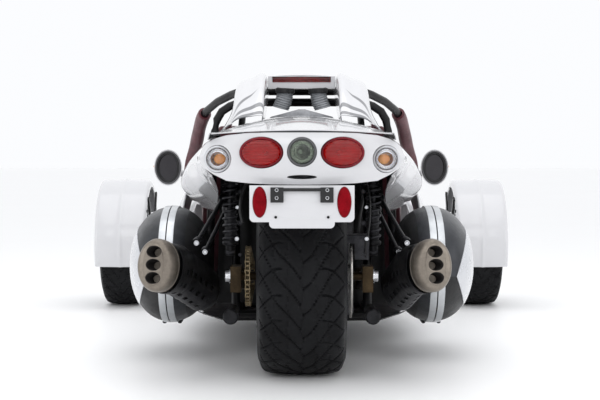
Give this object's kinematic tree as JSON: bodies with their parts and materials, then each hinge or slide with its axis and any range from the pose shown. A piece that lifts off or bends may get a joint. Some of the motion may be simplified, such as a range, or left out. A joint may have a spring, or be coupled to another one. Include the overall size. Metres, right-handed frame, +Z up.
{
  "type": "three wheeled sports car",
  "caption": "Low open two-seat three-wheeled car: steered front wheels under cycle fenders, one wide rear wheel, roll cage, opening luggage cases.",
  "frame": {"origin": "on the ground, midway along the length and the width", "axes": "+X to the right of the car, +Y forward, +Z up"},
  "size_m": [1.98, 3.5, 1.067],
  "materials": {
    "alloy_wheel": "satin",
    "black_frame": "satin",
    "black_plastic": "matte",
    "bronze_alloy": "satin",
    "case_graphite": "brushed",
    "case_silver": "satin",
    "cast_alloy": "cast",
    "chain_steel": "oiled",
    "clear_lens": "clear",
    "dark_steel": "satin",
    "disc_steel": "ground",
    "engine_metal": "matte",
    "hose_rubber": "matte",
    "maroon_leather": "grained",
    "mirror_glass": "polished",
    "red_lens": "glossy",
    "tinted_screen": "clear",
    "tyre_rubber": "matte",
    "warm_steel": "satin",
    "white_paint": "glossy"
  },
  "bodies": {
    "chassis": {"lower_frame": "black_frame", "roll_cage": "black_frame", "floor_pan": "black_plastic", "nose": "white_paint", "nose_grille": "black_plastic", "headlamps": "clear_lens", "windscreen": "tinted_screen", "dashboard": "black_plastic", "left_side_pod": "white_paint", "right_side_pod": "white_paint", "rear_cowl": "white_paint", "roof_scoop": "white_paint", "roof_brake_light": "white_paint", "tail_panel": "white_paint", "tail_lamps": "red_lens", "plate_holder": "white_paint", "plate_bracket": "black_plastic", "red_reflectors": "red_lens", "rear_fairings": "white_paint", "mirror_housings": "white_paint", "mirror_glasses": "mirror_glass", "cage_pads": "maroon_leather", "left_seat": "maroon_leather", "right_seat": "maroon_leather", "engine": "engine_metal", "airbox": "cast_alloy", "intake_hoses": "hose_rubber", "mufflers": "dark_steel", "exhaust_tips": "warm_steel", "swingarm": "bronze_alloy", "rear_shocks": "dark_steel", "rear_caliper": "dark_steel", "drive_chain": "chain_steel", "wishbones": "black_frame", "front_shocks": "dark_steel", "controls": "dark_steel", "left_case": "case_graphite", "right_case": "case_graphite"},
    "left_lid": {"left_case_lid": "case_silver"},
    "right_lid": {"right_case_lid": "case_silver"},
    "steering_column": {"steering_wheel": "black_plastic"},
    "rack": {"steering_rack": "dark_steel"},
    "left_steer": {"left_knuckle": "black_frame", "left_fender": "white_paint", "left_caliper": "cast_alloy"},
    "right_steer": {"right_knuckle": "black_frame", "right_fender": "white_paint", "right_caliper": "cast_alloy"},
    "left_wheel": {"left_front_rim": "alloy_wheel", "left_front_tyre": "tyre_rubber"},
    "right_wheel": {"right_front_rim": "alloy_wheel", "right_front_tyre": "tyre_rubber"},
    "rear_wheel": {"rear_rim": "alloy_wheel", "rear_tyre": "tyre_rubber", "rear_disc": "disc_steel", "rear_sprocket": "chain_steel"}
  },
  "joints": [
    {"name": "left_steer_turn", "type": "hinge", "parent": "chassis", "child": "left_steer", "pos_m": [-0.7355, 1.077, 0.295], "axis": [0, 0, 1], "range_deg": [-30, 30]},
    {"name": "right_steer_turn", "type": "hinge", "parent": "chassis", "child": "right_steer", "pos_m": [0.7355, 1.077, 0.295], "axis": [0, 0, 1], "range_deg": [-30, 30]},
    {"name": "rack_slide", "type": "slide", "parent": "chassis", "child": "rack", "axis": [1, 0, 0], "range_m": [-0.0577, 0.0577]},
    {"name": "steering_wheel_turn", "type": "hinge", "parent": "chassis", "child": "steering_column", "pos_m": [-0.222, 0.318, 0.59], "axis": [0, -0.9272, 0.3746], "range_deg": [-245, 245]},
    {"name": "left_wheel_spin", "type": "hinge", "parent": "left_steer", "child": "left_wheel", "pos_m": [-0.8725, 1.077, 0.295], "axis": [1, 0, 0], "continuous": true},
    {"name": "right_wheel_spin", "type": "hinge", "parent": "right_steer", "child": "right_wheel", "pos_m": [0.8725, 1.077, 0.295], "axis": [1, 0, 0], "continuous": true},
    {"name": "rear_wheel_spin", "type": "hinge", "parent": "chassis", "child": "rear_wheel", "pos_m": [0, -1.209, 0.332], "axis": [1, 0, 0], "continuous": true},
    {"name": "left_lid_hinge", "type": "hinge", "parent": "chassis", "child": "left_lid", "pos_m": [-0.513, -0.7, 0.118], "axis": [0, -1, 0], "range_deg": [0, 60]},
    {"name": "right_lid_hinge", "type": "hinge", "parent": "chassis", "child": "right_lid", "pos_m": [0.513, -0.7, 0.118], "axis": [0, 1, 0], "range_deg": [0, 60]}
  ],
  "couplings": [
    {"joint": "right_steer_turn", "follows": "left_steer_turn", "ratio": 1},
    {"joint": "rack_slide", "follows": "left_steer_turn", "m_per_rad": 0.11},
    {"joint": "steering_wheel_turn", "follows": "left_steer_turn", "ratio": 8}
  ]
}
